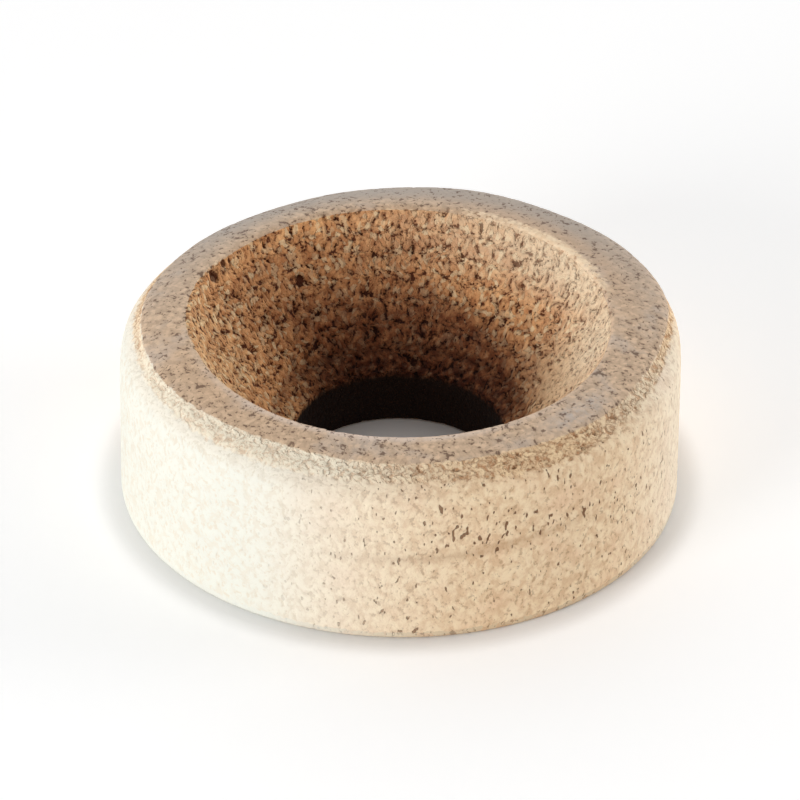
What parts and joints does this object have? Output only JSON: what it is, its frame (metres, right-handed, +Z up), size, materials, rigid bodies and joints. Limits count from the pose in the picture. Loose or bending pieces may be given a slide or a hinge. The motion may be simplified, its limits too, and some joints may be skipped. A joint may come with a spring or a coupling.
{
  "type": "cork ring",
  "caption": "Round stand of pressed cork with a flat foot, a bore right through and a wide hollow seat that holds a round-bottomed flask.",
  "frame": {"origin": "centre of the flat foot, on the plane the ring stands on", "axes": "+Z up along the bore axis, from the foot to the seat; +X and +Y are alike, because the ring is round"},
  "size_m": [0.08, 0.08, 0.0275],
  "materials": {
    "cork": "matt pressed cork granules: sanded pale outside wall, greyer top face, coarse brown seat"
  },
  "bodies": {
    "root": {"cork_ring": "cork"}
  },
  "joints": []
}
